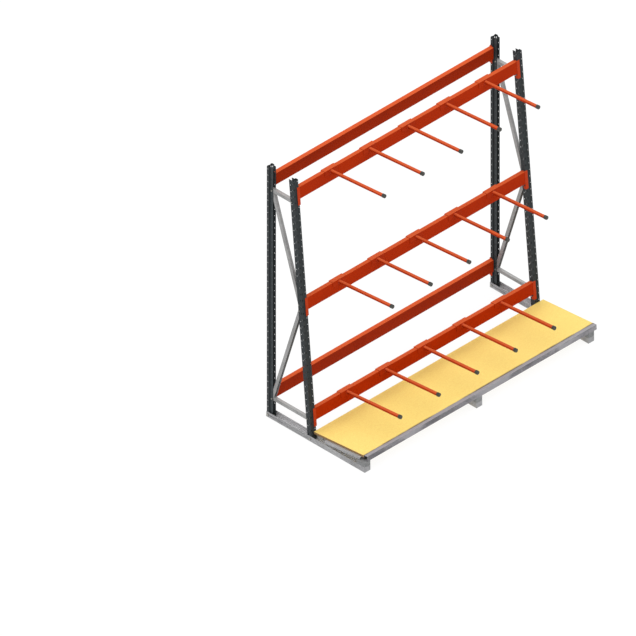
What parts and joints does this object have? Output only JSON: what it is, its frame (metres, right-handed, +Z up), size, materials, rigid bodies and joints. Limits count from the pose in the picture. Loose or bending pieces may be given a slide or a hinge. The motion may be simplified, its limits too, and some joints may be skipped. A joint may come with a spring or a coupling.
{
  "type": "cantilever rack",
  "caption": "Free-standing rack bay with a leaning front face: perforated A-frames, box beams, hook-on round arms that slide along the beams, and a sloping board deck.",
  "frame": {"origin": "centre of the footprint box, on the floor", "axes": "+X along the beams to the right of someone facing the deck, +Y to the rear, +Z up"},
  "size_m": [2.903, 1.23, 2.703],
  "materials": {
    "orange_paint": "satin powder coat",
    "arm_paint": "satin powder coat",
    "anthracite_paint": "satin powder coat",
    "galvanised_steel": "pre-galvanised, matt",
    "packer_steel": "dark galvanised, matt",
    "zinc_fastener": "zinc plated",
    "chipboard": "matt pressed chips",
    "cap_plastic": "moulded"
  },
  "bodies": {
    "root": {"rear_beam_top": "orange_paint", "rear_beam_bottom": "orange_paint", "front_beam_top": "orange_paint", "front_beam_middle": "orange_paint", "front_beam_bottom": "orange_paint", "front_beam_connectors": "orange_paint", "rear_beam_connectors": "orange_paint", "rear_post_left": "anthracite_paint", "rear_post_right": "anthracite_paint", "front_post_left": "anthracite_paint", "front_post_right": "anthracite_paint", "safety_pins": "anthracite_paint", "base_channel_left": "galvanised_steel", "base_channel_right": "galvanised_steel", "middle_foot_channel": "galvanised_steel", "horizontal_braces_left": "galvanised_steel", "horizontal_braces_right": "galvanised_steel", "diagonal_braces_left": "galvanised_steel", "diagonal_braces_right": "galvanised_steel", "deck_front_rail": "galvanised_steel", "deck_rear_rail": "galvanised_steel", "deck_bearers": "galvanised_steel", "deck_packers": "packer_steel", "brace_bolts": "zinc_fastener", "brace_nuts": "zinc_fastener", "brace_spacer_sleeves": "zinc_fastener", "base_bolts": "zinc_fastener", "base_nuts": "zinc_fastener", "deck_board": "chipboard"},
    "arm_top_1": {"top_arm_1": "arm_paint", "top_arm_cap_1": "cap_plastic"},
    "arm_top_2": {"top_arm_2": "arm_paint", "top_arm_cap_2": "cap_plastic"},
    "arm_top_3": {"top_arm_3": "arm_paint", "top_arm_cap_3": "cap_plastic"},
    "arm_top_4": {"top_arm_4": "arm_paint", "top_arm_cap_4": "cap_plastic"},
    "arm_top_5": {"top_arm_5": "arm_paint", "top_arm_cap_5": "cap_plastic"},
    "arm_middle_1": {"middle_arm_1": "arm_paint", "middle_arm_cap_1": "cap_plastic"},
    "arm_middle_2": {"middle_arm_2": "arm_paint", "middle_arm_cap_2": "cap_plastic"},
    "arm_middle_3": {"middle_arm_3": "arm_paint", "middle_arm_cap_3": "cap_plastic"},
    "arm_middle_4": {"middle_arm_4": "arm_paint", "middle_arm_cap_4": "cap_plastic"},
    "arm_middle_5": {"middle_arm_5": "arm_paint", "middle_arm_cap_5": "cap_plastic"},
    "arm_bottom_1": {"bottom_arm_1": "arm_paint", "bottom_arm_cap_1": "cap_plastic"},
    "arm_bottom_2": {"bottom_arm_2": "arm_paint", "bottom_arm_cap_2": "cap_plastic"},
    "arm_bottom_3": {"bottom_arm_3": "arm_paint", "bottom_arm_cap_3": "cap_plastic"},
    "arm_bottom_4": {"bottom_arm_4": "arm_paint", "bottom_arm_cap_4": "cap_plastic"},
    "arm_bottom_5": {"bottom_arm_5": "arm_paint", "bottom_arm_cap_5": "cap_plastic"}
  },
  "joints": [
    {"name": "top_arm_1_slide", "type": "slide", "parent": "root", "child": "arm_top_1", "axis": [1, 0, 0], "range_m": [-0.15, 0.15]},
    {"name": "top_arm_2_slide", "type": "slide", "parent": "root", "child": "arm_top_2", "axis": [1, 0, 0], "range_m": [-0.15, 0.15]},
    {"name": "top_arm_3_slide", "type": "slide", "parent": "root", "child": "arm_top_3", "axis": [1, 0, 0], "range_m": [-0.15, 0.15]},
    {"name": "top_arm_4_slide", "type": "slide", "parent": "root", "child": "arm_top_4", "axis": [1, 0, 0], "range_m": [-0.15, 0.15]},
    {"name": "top_arm_5_slide", "type": "slide", "parent": "root", "child": "arm_top_5", "axis": [1, 0, 0], "range_m": [-0.15, 0.15]},
    {"name": "middle_arm_1_slide", "type": "slide", "parent": "root", "child": "arm_middle_1", "axis": [1, 0, 0], "range_m": [-0.15, 0.15]},
    {"name": "middle_arm_2_slide", "type": "slide", "parent": "root", "child": "arm_middle_2", "axis": [1, 0, 0], "range_m": [-0.15, 0.15]},
    {"name": "middle_arm_3_slide", "type": "slide", "parent": "root", "child": "arm_middle_3", "axis": [1, 0, 0], "range_m": [-0.15, 0.15]},
    {"name": "middle_arm_4_slide", "type": "slide", "parent": "root", "child": "arm_middle_4", "axis": [1, 0, 0], "range_m": [-0.15, 0.15]},
    {"name": "middle_arm_5_slide", "type": "slide", "parent": "root", "child": "arm_middle_5", "axis": [1, 0, 0], "range_m": [-0.15, 0.15]},
    {"name": "bottom_arm_1_slide", "type": "slide", "parent": "root", "child": "arm_bottom_1", "axis": [1, 0, 0], "range_m": [-0.15, 0.15]},
    {"name": "bottom_arm_2_slide", "type": "slide", "parent": "root", "child": "arm_bottom_2", "axis": [1, 0, 0], "range_m": [-0.15, 0.15]},
    {"name": "bottom_arm_3_slide", "type": "slide", "parent": "root", "child": "arm_bottom_3", "axis": [1, 0, 0], "range_m": [-0.15, 0.15]},
    {"name": "bottom_arm_4_slide", "type": "slide", "parent": "root", "child": "arm_bottom_4", "axis": [1, 0, 0], "range_m": [-0.15, 0.15]},
    {"name": "bottom_arm_5_slide", "type": "slide", "parent": "root", "child": "arm_bottom_5", "axis": [1, 0, 0], "range_m": [-0.15, 0.15]}
  ]
}
